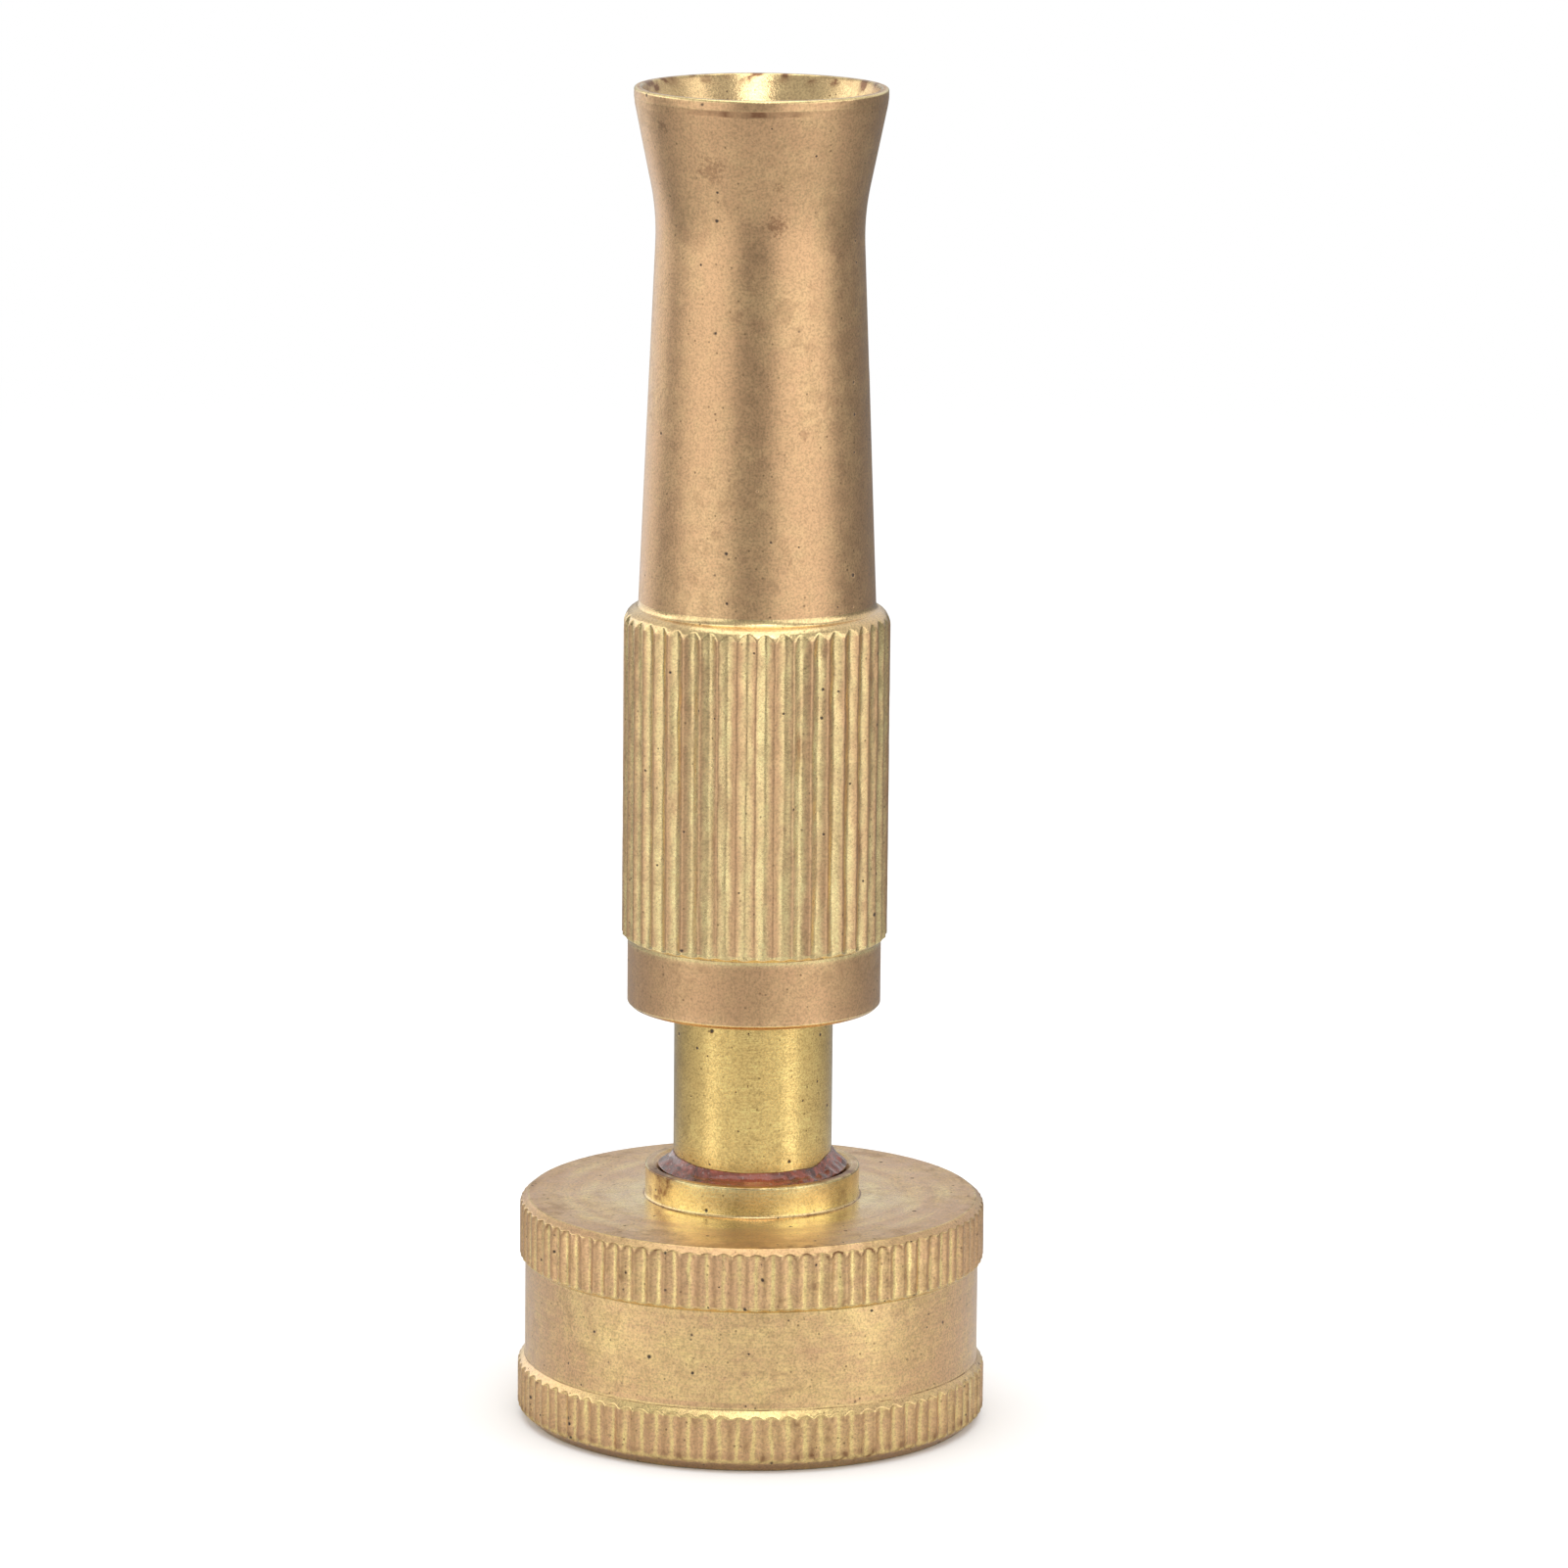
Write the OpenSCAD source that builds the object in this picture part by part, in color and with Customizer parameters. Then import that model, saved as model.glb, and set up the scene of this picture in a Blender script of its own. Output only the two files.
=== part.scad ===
// Adjustable twist hose nozzle, turned from brass bar.
// Axis of revolution: +Z. The open lower face of the hose coupling lies on z = 0,
// and the spray leaves upwards. All lengths are in millimetres.

/* [Hose coupling] */
// Diameter over the lower knurled band
coupling_d = 32.96; // [32.6:0.02:34]
// Diameter over the upper knurled band
upper_band_d = 32.74; // [32.5:0.02:33.8]
// Diameter of the smooth band between the knurls
smooth_band_d = 31.9; // [31.2:0.05:32]
// Height from the open face to the flat disc
coupling_h = 15.9; // [15.6:0.1:17]
// Ridges round each knurled band of the coupling
coupling_ridges = 88; // [60:1:120]
// Depth of the coupling's knurl grooves
coupling_knurl_depth = 0.26; // [0.15:0.01:0.28]
// Diameter over the crests of the female hose thread
hose_thread_d = 24.6; // [24.2:0.1:24.9]
// Diameter of the seat that the washer sits in
washer_seat_d = 25.9; // [25.7:0.1:26.4]
// Depth from the open face to the washer seat's ceiling
socket_depth = 12.2; // [12:0.1:13]
// Diameter of the boss round the stem
boss_d = 15.06; // [14.6:0.02:16]
// Height of the boss above the disc
boss_h = 2.2; // [1.8:0.1:3]
// Diameter of the countersink in the boss
countersink_d = 13.8; // [13:0.1:14.2]

/* [Hose washer] */
// Outside diameter
washer_od = 25.5; // [25.2:0.1:25.6]
// Hole diameter
washer_id = 15.8; // [14:0.1:17]
// Thickness
washer_t = 3; // [2.4:0.1:3.1]

/* [Stem] */
// Diameter of the plain shank
stem_d = 11.13; // [10.9:0.01:11.2]
// Water bore in the shank and thread
stem_bore_d = 7; // [5.6:0.1:7.2]
// Water bore above the thread, under the seal rings
upper_bore_d = 5.6; // [4.6:0.1:5.6]
// Pitch diameter of the stem's thread
thread_pitch_d = 12; // [11.7:0.1:12.1]
// Length of the stem's thread
thread_len = 10; // [8:0.5:10]
// Diameter of the land that carries the two seal rings
seal_land_d = 10.8; // [10.6:0.1:10.9]
// Diameter of the nose above the land
nose_d = 9.2; // [8.6:0.1:9.4]
// Diameter of the water ports
port_d = 3; // [2:0.1:3.4]

/* [Seal rings] */
// Section of the two stem seal rings and of the tip ring
seal_section = 1.8; // [1.6:0.05:1.8]
// Section of the friction ring in the barrel's mouth
friction_section = 1.5; // [1.3:0.05:1.5]

/* [Barrel] */
// Bare stem that shows between the boss and the barrel at rest
barrel_gap = 11.5; // [10.3:0.1:13]
// Diameter over the grip's ridges
grip_d = 18.64; // [18.4:0.02:19.4]
// Length of the knurled grip
grip_len = 21.9; // [20:0.1:23]
// Ridges round the grip
grip_ridges = 44; // [30:1:60]
// Depth of the grip's knurl grooves
grip_knurl_depth = 0.36; // [0.2:0.01:0.4]
// Diameter of the plain collar below the grip
collar_d = 17.74; // [17.4:0.02:18]
// Length of the collar
collar_len = 4.8; // [3.6:0.1:5]
// Diameter of the tube where it leaves the grip
tube_d = 16.56; // [16.2:0.02:16.9]
// Taper of the tube, in mm of radius for each mm of length
tube_taper = 0.0415; // [0.03:0.0005:0.045]
// Spread of the muzzle, in mm of radius for each mm of length
muzzle_spread = 0.205; // [0.16:0.005:0.24]
// Radius that blends the tube into the muzzle
waist_blend_r = 17.5; // [14:0.5:20]
// Height of the muzzle's plain rim
rim_len = 1; // [0.6:0.1:1.2]
// Wall left at the rim
rim_wall = 0.54; // [0.4:0.01:0.8]
// Bore that the stem's seal rings slide in
seal_bore_d = 11; // [10.94:0.01:11.1]
// Throat that the spray leaves through
throat_d = 6.2; // [5:0.1:6.6]

/* [Hidden] */
$fn = 96;

brass_pink = [0.78, 0.62, 0.42];
brass_yellow = [0.79, 0.67, 0.42];
rubber = [0.08, 0.08, 0.08];
resin = [0.42, 0.24, 0.17];

gap = 0.03;                                   // running clearance on radius

// heights on the hose side
band_z0 = 0.8;                                // lower knurl, bottom
band_z1 = 3.9;                                // lower knurl, top
smooth_z0 = 4.5;                              // smooth band, bottom
smooth_z1 = coupling_h - 4.55;                // smooth band, top
upper_z0 = coupling_h - 4.2;                  // upper knurl, bottom
upper_z1 = coupling_h - 0.45;                 // upper knurl, top
boss_z = coupling_h + boss_h;                 // boss rim
washer_z0 = socket_depth - washer_t;
crest_z0 = (27.4 - hose_thread_d) / 2;        // 45 degree lead-in ends here
crest_z1 = socket_depth - 3.2;                // thread crests end here

stem_r = stem_d / 2;
stem_z0 = socket_depth + 0.05;
thread_z0 = 37.5;
thread_z1 = thread_z0 + thread_len;
land_z1 = 61.5;
nose_z1 = 77;
seal_r = seal_section / 2;
seal_ring_r = seal_bore_d / 2 - gap - seal_r; // centre of a seal ring's section
seal_zs = [56, 59.5];
tip_ring_r = 4.9 - seal_r;
tip_ring_z = 79.78;
tip_groove_z0 = tip_ring_z - seal_r - 0.08;
tip_groove_z1 = tip_ring_z + seal_r + 0.07;

// heights on the barrel
b0 = boss_z + barrel_gap;
collar_z1 = b0 + collar_len;
grip_z0 = collar_z1 + 0.35;
grip_z1 = grip_z0 + grip_len;
tube_z0 = grip_z1 + 1.3;
b1 = b0 + 64.4;
rim_r = 17.56 / 2;
friction_r = friction_section / 2;
friction_ring_r = stem_r + 0.035 + friction_r;
friction_z = b0 + 1.4;
seat_z = b0 + 51.5;                           // foot of the 45 degree seat

// Where the tube's line meets the muzzle's line, and the arc that blends them.
muzzle_top_r = rim_r - 0.05;
muzzle_z = b1 - rim_len;
corner_z = (tube_d / 2 + tube_taper * tube_z0 - muzzle_top_r + muzzle_spread * muzzle_z)
           / (tube_taper + muzzle_spread);
corner_r = tube_d / 2 - tube_taper * (corner_z - tube_z0);
a_tube = atan(tube_taper);
a_muzzle = atan(muzzle_spread);
blend_len = waist_blend_r * tan((a_tube + a_muzzle) / 2);
arc_r0 = corner_r + blend_len * sin(a_tube);
arc_z0 = corner_z - blend_len * cos(a_tube);
arc_cr = arc_r0 + waist_blend_r * cos(a_tube);
arc_cz = arc_z0 + waist_blend_r * sin(a_tube);
waist_steps = 8;
waist = [for (i = [0 : waist_steps])
    let (a = -a_tube + (a_tube + a_muzzle) * i / waist_steps)
    [arc_cr - waist_blend_r * cos(a), arc_cz + waist_blend_r * sin(a)]];

// Convex shoulder above the grip: a quarter ellipse down to the tube's foot.
shoulder_r = grip_d / 2 - 0.02;
shoulder_foot = tube_d / 2 + 0.2;
shoulder = [for (i = [0 : 5])
    let (a = 90 * i / 6)
    [shoulder_foot + (shoulder_r - shoulder_foot) * cos(a), grip_z1 + 1.2 * sin(a)]];

// Bell inside the muzzle: from the throat to the rim, opening faster at its foot.
bell_z0 = seat_z + 2.4 + 2;
bell_r1 = rim_r - rim_wall;
bell = [for (i = [0 : 8])
    let (t = i / 8)
    [throat_d / 2 + (bell_r1 - throat_d / 2) * pow(t, 0.62), bell_z0 + (b1 - bell_z0) * t]];

// A ridged outline: narrow crests with two corners each, and wide flat-floored grooves between them.
function ridges(r, depth, n, first) = [for (i = [0 : n - 1], k = [-0.14, 0.14, 0.36, 0.64])
    let (a = first + (i + k) * 360 / n, q = k > 0.3 ? r - depth : r)
    [q * cos(a), q * sin(a)]];

module turned(points) rotate_extrude() polygon(points);

module ring(centre_r, section_r, z)
    translate([0, 0, z]) rotate_extrude() translate([centre_r, 0]) circle(r = section_r, $fn = 48);

module knurled(r, depth, n, first, z0, z1)
    translate([0, 0, z0]) linear_extrude(height = z1 - z0) polygon(ridges(r, depth, n, first));

module coupling() color(brass_yellow) difference() {
    union() {
        turned([[0, 0], [coupling_d / 2 - 0.4, 0], [coupling_d / 2 - 0.3, band_z0],
                [coupling_d / 2 - 0.3, band_z1], [smooth_band_d / 2, smooth_z0],
                [smooth_band_d / 2, smooth_z1], [upper_band_d / 2 - 0.3, upper_z0],
                [upper_band_d / 2 - 0.3, upper_z1], [upper_band_d / 2 - 0.67, coupling_h],
                [boss_d / 2, coupling_h], [boss_d / 2, boss_z], [0, boss_z]]);
        knurled(coupling_d / 2, coupling_knurl_depth, coupling_ridges, -90.75, band_z0, band_z1);
        knurled(upper_band_d / 2, coupling_knurl_depth, coupling_ridges, -90.75, upper_z0, upper_z1);
    }
    // hose thread, drawn as the cylinder through its crests, and the washer's seat
    turned([[0, -1], [13.7 + 1, -1], [hose_thread_d / 2, crest_z0],
            [hose_thread_d / 2, crest_z1], [washer_seat_d / 2, crest_z1],
            [washer_seat_d / 2, socket_depth], [0, socket_depth]]);
    // hole for the stem, with the countersink that holds the sealant
    turned([[0, socket_depth - 1], [stem_r + gap, socket_depth - 1],
            [stem_r + gap, boss_z - 0.9], [countersink_d / 2, boss_z],
            [countersink_d / 2, boss_z + 1], [0, boss_z + 1]]);
}

module stem() color(brass_yellow) difference() {
    turned([[0, stem_z0], [stem_r - 0.3, stem_z0], [stem_r, stem_z0 + 0.3],
            [stem_r, thread_z0], [thread_pitch_d / 2, thread_z0 + 0.4],
            [thread_pitch_d / 2, thread_z1 - 0.5], [seal_land_d / 2, thread_z1],
            [seal_land_d / 2, land_z1 - 0.4], [nose_d / 2, land_z1 + 0.4],
            [nose_d / 2, nose_z1], [0, nose_z1]]);
    // water bore: wide through the shank, narrower under the seal rings
    turned([[0, stem_z0 - 1], [stem_bore_d / 2, stem_z0 - 1], [stem_bore_d / 2, thread_z1],
            [upper_bore_d / 2, thread_z1 + 1], [upper_bore_d / 2, nose_z1 + 1], [0, nose_z1 + 1]]);
    // grooves for the two seal rings
    for (z = seal_zs)
        turned([[seal_ring_r - seal_r - 0.02, z - seal_r - 0.1], [7, z - seal_r - 0.1],
                [7, z + seal_r + 0.1], [seal_ring_r - seal_r - 0.02, z + seal_r + 0.1]]);
    // two crossed pairs of water ports
    translate([0, 0, 65.5]) rotate([90, 0, 0]) cylinder(d = port_d, h = 20, center = true);
    translate([0, 0, 69.5]) rotate([0, 90, 0]) cylinder(d = port_d, h = 20, center = true);
}

module stem_tip() color(brass_yellow)
    turned([[0, 72.6], [upper_bore_d / 2 - 0.3 - gap, 72.6], [upper_bore_d / 2 - gap, 72.9],
            [upper_bore_d / 2 - gap, nose_z1 + 0.02], [nose_d / 2, nose_z1 + 0.02],
            [nose_d / 2, tip_groove_z0 - 0.2], [nose_d / 2 - 0.2, tip_groove_z0],
            [tip_ring_r - seal_r - 0.02, tip_groove_z0],
            [tip_ring_r - seal_r - 0.02, tip_groove_z1], [3.85, tip_groove_z1],
            [2, 82.5], [1.3, 85.6], [0.9, 86], [0, 86]]);

module neck_sealant() color(resin)
    turned([[stem_r + 0.01, boss_z - 0.86], [stem_r + 0.04, boss_z - 0.86],
            [countersink_d / 2 - 0.03, boss_z + 0.02], [countersink_d / 2 - 0.1, boss_z + 0.2],
            [stem_r + 0.35, boss_z + 0.95], [stem_r + 0.01, boss_z + 1.3]]);

module hose_washer() color(rubber)
    turned([[washer_id / 2, washer_z0 + 0.2], [washer_id / 2 + 0.2, washer_z0],
            [washer_od / 2 - 0.2, washer_z0], [washer_od / 2, washer_z0 + 0.2],
            [washer_od / 2, socket_depth - 0.2], [washer_od / 2 - 0.2, socket_depth - 0.01],
            [washer_id / 2 + 0.2, socket_depth - 0.01], [washer_id / 2, socket_depth - 0.2]]);

module stem_o_ring_lower() color(rubber) ring(seal_ring_r, seal_r, seal_zs[0]);

module stem_o_ring_upper() color(rubber) ring(seal_ring_r, seal_r, seal_zs[1]);

module tip_o_ring() color(rubber) ring(tip_ring_r, seal_r, tip_ring_z);

module barrel_friction_ring() color(rubber) ring(friction_ring_r, friction_r, friction_z);

module barrel() color(brass_pink) difference() {
    union() {
        turned(concat([[0, b0], [collar_d / 2 - 0.3, b0], [collar_d / 2, b0 + 0.3],
                       [collar_d / 2, collar_z1], [grip_d / 2 - 0.42, grip_z0],
                       [grip_d / 2 - 0.42, grip_z1 - 0.3]],
                      shoulder, [[shoulder_foot, grip_z1 + 1.2], [tube_d / 2, tube_z0]],
                      waist, [[muzzle_top_r, muzzle_z], [rim_r, muzzle_z + 0.05],
                       [rim_r, b1 - 0.15], [rim_r - 0.15, b1], [0, b1]]));
        knurled(grip_d / 2, grip_knurl_depth, grip_ridges, -90, grip_z0, grip_z1);
    }
    // lip, groove of the friction ring, thread, relief, seal bore, seat, throat and bell
    turned(concat([[0, b0 - 1], [6.45, b0 - 1], [6.45, friction_z - friction_r - 0.05],
                   [friction_ring_r + friction_r + 0.03, friction_z - friction_r - 0.05],
                   [friction_ring_r + friction_r + 0.03, friction_z + friction_r + 0.05],
                   [6.45, friction_z + friction_r + 0.05], [6.45, b0 + 8.5],
                   [thread_pitch_d / 2 + 0.05, b0 + 8.9], [thread_pitch_d / 2 + 0.05, b0 + 14.9],
                   [6.45, b0 + 15.3], [6.45, b0 + 19.2], [seal_bore_d / 2, b0 + 19.9],
                   [seal_bore_d / 2, seat_z],
                   [throat_d / 2, seat_z + seal_bore_d / 2 - throat_d / 2],
                   [throat_d / 2, bell_z0]],
                  [for (i = [1 : 8]) bell[i]], [[bell_r1, b1 + 1], [0, b1 + 1]]));
}

coupling();
stem();
stem_tip();
neck_sealant();
hose_washer();
stem_o_ring_lower();
stem_o_ring_upper();
tip_o_ring();
barrel_friction_ring();
barrel();
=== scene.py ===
import bpy
import math
import numpy as np
from mathutils import Matrix, Vector


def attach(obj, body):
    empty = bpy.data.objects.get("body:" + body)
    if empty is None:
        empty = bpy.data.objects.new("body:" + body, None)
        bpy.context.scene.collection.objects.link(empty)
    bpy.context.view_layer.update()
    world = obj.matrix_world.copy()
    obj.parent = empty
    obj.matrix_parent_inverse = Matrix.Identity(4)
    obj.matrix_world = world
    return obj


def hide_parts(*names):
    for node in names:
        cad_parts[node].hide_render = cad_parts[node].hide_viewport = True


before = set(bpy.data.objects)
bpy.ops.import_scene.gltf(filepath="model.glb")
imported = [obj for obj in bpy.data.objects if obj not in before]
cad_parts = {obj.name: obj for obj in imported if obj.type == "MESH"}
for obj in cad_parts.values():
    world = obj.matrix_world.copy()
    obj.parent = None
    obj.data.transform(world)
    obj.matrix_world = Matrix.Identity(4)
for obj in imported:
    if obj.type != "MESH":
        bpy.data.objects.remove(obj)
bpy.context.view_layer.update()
rng = np.random.default_rng(20)
MM = 0.001
TAU = 2 * math.pi


# ---------------------------------------------------------------- camera
cam_data = bpy.data.cameras.new("camera")
cam = bpy.data.objects.new("camera", cam_data)
bpy.context.scene.collection.objects.link(cam)
cam_data.sensor_width = 36
cam_data.lens = 193.0
cam_data.clip_start = 0.01
cam_data.clip_end = 50
PITCH, ROLL = 11.19, 0.54
cam.matrix_world = (Matrix.Translation((0.00198, -0.575, 0.1590))
                    @ Matrix.Rotation(math.radians(90 - PITCH), 4, "X")
                    @ Matrix.Rotation(math.radians(ROLL), 4, "Z"))
bpy.context.scene.camera = cam


# ---------------------------------------------------------------- lathe tools
# A profile is a list of (r, z, fillet, step, columns) in mm, walked so that the metal is on the left:
# out along the bottom, up the outside, in along the top, down the bore.
def rounded(points, closed=True):
    """Stations (r, z, edge, columns) of a profile with its corners rounded. edge is 1 on a convex fillet and -1 on a concave one."""
    n = len(points)
    out = []
    for i, p in enumerate(points):
        r, z, f = p[0], p[1], p[2]
        cols = p[4]
        if f <= 0 or (not closed and i in (0, n - 1)):
            out.append([(r, z, 0.0, cols)])
            continue
        a, b = np.array(points[i - 1][:2], float), np.array(points[(i + 1) % n][:2], float)
        c = np.array((r, z), float)
        u, v = (a - c), (b - c)
        lu, lv = np.linalg.norm(u), np.linalg.norm(v)
        u, v = u / lu, v / lv
        cosang = float(np.clip(np.dot(u, v), -1, 1))
        half = math.acos(cosang) / 2
        if half > math.pi / 2 - 0.02:
            out.append([(r, z, 0.0, cols)])
            continue
        d = min(f / math.tan(half), 0.48 * lu, 0.48 * lv)
        rad = d * math.tan(half)
        centre = c + (u + v) / np.linalg.norm(u + v) * (rad / math.sin(half))
        start, end = c + u * d, c + v * d
        a0 = math.atan2(*(start - centre)[::-1])
        a1 = math.atan2(*(end - centre)[::-1])
        da = (a1 - a0 + math.pi) % TAU - math.pi
        turn = np.cross(c - a, b - c)
        seg = max(3, int(abs(da) / math.radians(15)) + 1)
        arc = []
        for k in range(seg + 1):
            t = k / seg
            ang = a0 + da * t
            w = math.sin(math.pi * t) ** 0.5 if 0 < t < 1 else 0.25
            arc.append((centre[0] + rad * math.cos(ang), centre[1] + rad * math.sin(ang), w if turn > 0 else -w, cols))
        out.append(arc)
    flat = []
    m = len(out)
    for i in range(m if closed else m - 1):
        here, there = out[i], out[(i + 1) % m]
        flat += here
        r0, z0, _, c0 = here[-1]
        r1, z1, _, c1 = there[0]
        length = math.hypot(r1 - r0, z1 - z0)
        step = points[i][3]
        cols = c0
        ts = []
        if length > 1e-9:
            k = max(1, int(math.ceil(length / step - 1e-6)))
            ts = [j / k for j in range(1, k)]
            hold = 0.06
            if length > 5 * hold:
                ts += [hold / length, 1 - hold / length]
            ts = sorted(set(round(t, 6) for t in ts))
        flat += [(r0 + (r1 - r0) * t, z0 + (z1 - z0) * t, 0.0, cols) for t in ts]
    if not closed:
        flat += out[-1]
    clean = []
    for s in flat:
        if not clean or math.hypot(s[0] - clean[-1][0], s[1] - clean[-1][1]) > 1e-5:
            clean.append(s)
    if closed and math.hypot(clean[0][0] - clean[-1][0], clean[0][1] - clean[-1][1]) < 1e-5:
        clean.pop()
    return clean


def lathe(name, stations, shape=None, closed=True):
    """A mesh turned from stations. shape(theta, r, z, edge) gives (r, z, wear, dirt) for a whole ring at once."""
    verts, wear_and_sheen, dirt_and_shade, polish_and_sheen, rings = [], [], [], [], []
    base = 0
    for r, z, edge, cols in stations:
        if r < 1e-6:
            verts.append(np.array([[0, 0, z]]))
            wear_and_sheen.append(np.array([max(edge, 0.0)]))
            dirt_and_shade.append(np.array([0.0]))
            polish_and_sheen.append(np.array([1.0]))
            rings.append((base, 1))
            base += 1
            continue
        th = np.arange(cols) * TAU / cols
        rr, zz = np.full(cols, float(r)), np.full(cols, float(z))
        w, d, b = np.full(cols, max(edge, 0.0)), np.full(cols, max(-edge, 0.0)), np.zeros(cols)
        if shape is not None:
            got = shape(th, rr, zz, edge)
            rr, zz = got[0], got[1]
            w = np.clip(w + got[2], 0, 1)
            d = np.clip(d + got[3], 0, 1)
            b = np.clip(got[4], 0, 1)
        verts.append(np.stack([rr * np.cos(th), rr * np.sin(th), zz], 1))
        wear_and_sheen.append(w)
        dirt_and_shade.append(d)
        polish_and_sheen.append(b)
        rings.append((base, cols))
        base += cols
    faces = []
    count = len(rings)
    for i in range(count if closed else count - 1):
        (b0, n0), (b1, n1) = rings[i], rings[(i + 1) % count]
        if n0 == n1:
            j = np.arange(n0)
            k = (j + 1) % n0
            faces += np.stack([b0 + j, b0 + k, b1 + k, b1 + j], 1).tolist()
        elif n0 == 1:
            j = np.arange(n1)
            faces += np.stack([np.full(n1, b0), b1 + (j + 1) % n1, b1 + j], 1).tolist()
        elif n1 == 1:
            j = np.arange(n0)
            faces += np.stack([b0 + j, b0 + (j + 1) % n0, np.full(n0, b1)], 1).tolist()
        elif n0 > n1:
            m = n0 // n1
            assert n0 == m * n1, (name, n0, n1)
            for j in range(n1):
                fine = [b0 + (j * m + q) % n0 for q in range(m + 1)]
                faces.append(fine + [b1 + (j + 1) % n1, b1 + j])
        else:
            m = n1 // n0
            assert n1 == m * n0, (name, n0, n1)
            for j in range(n0):
                fine = [b1 + (j * m + q) % n1 for q in range(m, -1, -1)]
                faces.append([b0 + j, b0 + (j + 1) % n0] + fine)
    co = np.concatenate(verts) * MM
    mesh = bpy.data.meshes.new(name)
    mesh.from_pydata(co.tolist(), [], faces)
    mesh.update()
    for label, values in (("wear_and_sheen", wear_and_sheen), ("dirt_and_shade", dirt_and_shade), ("polish_and_sheen", polish_and_sheen)):
        att = mesh.attributes.new(label, "FLOAT", "POINT")
        att.data.foreach_set("value", np.concatenate(values).astype(np.float32))
    mesh.shade_smooth()
    ob = bpy.data.objects.new(name, mesh)
    bpy.context.scene.collection.objects.link(ob)
    return ob


def smin(a, b, k):
    h = np.clip(0.5 + 0.5 * (b - a) / k, 0, 1)
    return b + (a - b) * h - k * h * (1 - h)


def smoothstep(a, b, x):
    t = np.clip((x - a) / (b - a), 0, 1)
    return t * t * (3 - 2 * t)


class Waves:
    """A smooth seeded field over a turned surface, about -1 to 1, seamless round the axis."""
    def __init__(self, seed, turns, z_scale, count=9):
        g = np.random.default_rng(seed)
        self.m = g.integers(0, turns + 1, count)
        self.k = g.normal(0, 1, count) * TAU / z_scale
        self.p = g.uniform(0, TAU, count)
        self.q = g.uniform(0, TAU, count)
        self.a = g.uniform(0.5, 1, count) / math.sqrt(count)

    def __call__(self, th, z):
        s = 0
        for m, k, p, q, a in zip(self.m, self.k, self.p, self.q, self.a):
            s = s + a * np.cos(m * th + p) * np.cos(k * z + q) * 1.6
        return s


class Knurl:
    """Straight cut knurl: narrow rounded crests between wide U-shaped grooves, each a little different, with a painted
    highlight stripe down each groove.
    """
    def __init__(self, n, crest, depth, first, seed, uneven=0.12, width=1.0, power=2.1, wander=0.03, stripe=0.62):
        g = np.random.default_rng(seed)
        self.n, self.crest, self.depth, self.first = n, crest, depth, math.radians(first)
        self.width, self.power, self.wander, self.stripe = width, power, wander, stripe
        self.gleam = g.uniform(0.25, 1.0, n)
        self.side = g.uniform(-0.12, 0.12, n)
        self.deep = 1 - uneven * g.uniform(0, 1, n)
        self.low = 0.03 * g.uniform(0, 1, n) ** 2
        self.shift = g.uniform(-0.03, 0.03, n)
        self.ripple = Waves(seed + 1, n, 5.0, 12)
        self.flat = Waves(seed + 2, n // 2, 4.0, 12)

    def __call__(self, th, z):
        x = self.n * (th - self.first) / TAU
        i = np.floor(x).astype(int) % self.n
        u = x - np.floor(x)
        c = np.where(u < 0.5, i, (i + 1) % self.n)
        bend = self.wander * self.ripple(th, z)
        v = np.abs(np.clip(u + bend + self.shift[i] - 0.5, -0.5, 0.5)) * 2 / self.width
        h = smin(np.clip(v, 0, 1.2) ** self.power, 0.96, 0.22)
        floor = self.depth * self.deep[i] * (1 + 0.12 * self.flat(th, z))
        r = self.crest - self.low[c] * h - floor * (1 - h)
        # painted highlight: a bright stripe down the middle of each groove
        w = (np.abs(u - 0.5 + self.side[i] + 0.06 * self.flat(th, z)) * 2) / (self.stripe * self.width)
        painted_groove_highlight = np.exp(-w ** 4) * (0.55 + 0.45 * self.gleam[i]) * (0.95 + 0.35 * self.ripple(th, z))
        return np.minimum(r, self.crest), h, np.clip(painted_groove_highlight, 0, 1)


def helix(th, z, lead, z0):
    """Distance from the thread's crest line, -0.5 to 0.5 of the lead. Right-handed."""
    t = (z - z0) / lead - th / TAU
    return t - np.round(t)


# ---------------------------------------------------------------- pieces
def line(a, b, n):
    return [(a[0] + (b[0] - a[0]) * i / n, a[1] + (b[1] - a[1]) * i / n) for i in range(n + 1)]


def to_body(ob, body, node):
    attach(ob, body)
    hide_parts(node)


# ---- barrel
G = 44
FINE, MID = G * 12, G * 4
TAPER = 0.0415


def tube_r(z):
    return 8.28 - TAPER * (z - 57.95)


a_t, a_m = math.atan(TAPER), math.atan(0.205)
corner_z = (8.28 + TAPER * 57.95 - 8.73 + 0.205 * 93.0) / (TAPER + 0.205)
corner_r = tube_r(corner_z)
blend = 17.5 * math.tan((a_t + a_m) / 2)
ar, az = corner_r + blend * math.sin(a_t), corner_z - blend * math.cos(a_t)
acr, acz = ar + 17.5 * math.cos(a_t), az + 17.5 * math.sin(a_t)
waist = [(acr - 17.5 * math.cos(a), acz + 17.5 * math.sin(a)) for a in np.linspace(-a_t, a_m, 19)]

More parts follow.
